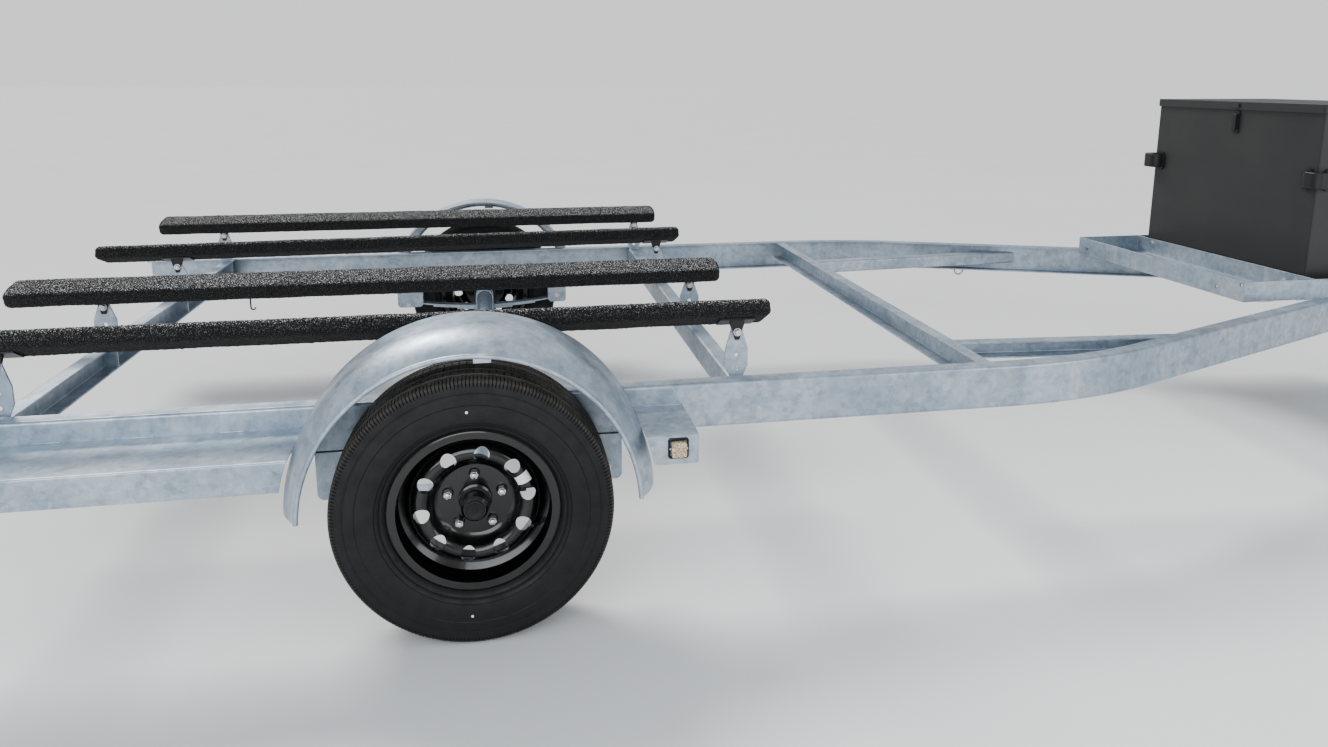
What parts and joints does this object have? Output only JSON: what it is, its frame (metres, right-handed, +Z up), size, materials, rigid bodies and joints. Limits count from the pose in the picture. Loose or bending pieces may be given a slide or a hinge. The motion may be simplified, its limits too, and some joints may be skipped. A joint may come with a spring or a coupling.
{
  "type": "boat trailer",
  "caption": "Single-axle galvanised boat trailer with four padded bunks, converging channel rails, leaf springs, storage box, side steps and tongue jack.",
  "frame": {"origin": "on the ground under the middle of the bounding box", "axes": "+X forward to the coupler, +Y to the trailer's left, +Z up"},
  "size_m": [5.9998, 2.6, 1.29],
  "materials": {
    "galvanised": "matte",
    "carpet": "matte",
    "black_steel": "satin",
    "box_paint": "satin",
    "wheel_paint": "gloss",
    "tyre_rubber": "matte",
    "red_lens": "gloss",
    "amber_lens": "gloss",
    "bright_steel": "satin",
    "wheel_rubber": "matte"
  },
  "bodies": {
    "trailer": {"rail_left": "galvanised", "rail_right": "galvanised", "stiffener_left": "galvanised", "stiffener_right": "galvanised", "tray_side_left": "galvanised", "tray_side_right": "galvanised", "box_support_left": "galvanised", "box_support_right": "galvanised", "fender_left": "galvanised", "fender_right": "galvanised", "step_front_left": "galvanised", "step_front_right": "galvanised", "step_rear_left": "galvanised", "step_rear_right": "galvanised", "crossmember_rear": "galvanised", "crossmember_middle": "galvanised", "crossmember_front": "galvanised", "tray_cross_rear": "galvanised", "tray_cross_middle": "galvanised", "tray_cross_front": "galvanised", "axle_beam": "galvanised", "axle_clamps": "galvanised", "leaf_spring_left": "galvanised", "leaf_spring_right": "galvanised", "spring_hangers_left": "galvanised", "spring_hangers_right": "galvanised", "crossmember_gussets": "galvanised", "bunk_uprights": "galvanised", "frame_loop": "galvanised", "coupler": "galvanised", "jack_tube": "galvanised", "bunk_right_outer": "carpet", "bunk_right_inner": "carpet", "bunk_left_inner": "carpet", "bunk_left_outer": "carpet", "bunk_swivels": "black_steel", "box_hinges": "black_steel", "box_latch": "black_steel", "box_handles": "black_steel", "jack_crank": "black_steel", "coupler_latch": "black_steel", "box_body": "box_paint", "tail_lamp_left": "red_lens", "tail_lamp_right": "red_lens", "marker_lamp_left": "amber_lens", "marker_lamp_right": "amber_lens"},
    "wheel_left": {"wheel_left": "wheel_paint", "hub_left": "wheel_paint", "tyre_left": "tyre_rubber"},
    "wheel_right": {"wheel_right": "wheel_paint", "hub_right": "wheel_paint", "tyre_right": "tyre_rubber"},
    "lid": {"box_lid": "box_paint"},
    "jack_leg": {"jack_leg": "bright_steel"},
    "jack_caster": {"jack_fork": "bright_steel"},
    "jack_wheel": {"jack_wheel": "wheel_rubber"}
  },
  "joints": [
    {"name": "wheel_left_spin", "type": "hinge", "parent": "trailer", "child": "wheel_left", "pos_m": [-1.52494, 1.175, 0.3445], "axis": [0, 1, 0], "continuous": true},
    {"name": "wheel_right_spin", "type": "hinge", "parent": "trailer", "child": "wheel_right", "pos_m": [-1.52494, -1.175, 0.3445], "axis": [0, 1, 0], "continuous": true},
    {"name": "lid_hinge", "type": "hinge", "parent": "trailer", "child": "lid", "pos_m": [2.15456, 0, 1.258], "axis": [0, 1, 0], "range_deg": [0, 100]},
    {"name": "jack_extend", "type": "slide", "parent": "trailer", "child": "jack_leg", "axis": [0, 0, 1], "range_m": [-0.07, 0.18]},
    {"name": "jack_swivel", "type": "hinge", "parent": "jack_leg", "child": "jack_caster", "pos_m": [2.62714, 0, 0.2], "axis": [0, 0, 1], "continuous": true},
    {"name": "jack_wheel_spin", "type": "hinge", "parent": "jack_caster", "child": "jack_wheel", "pos_m": [2.59314, 0, 0.076], "axis": [0, 1, 0], "continuous": true}
  ]
}
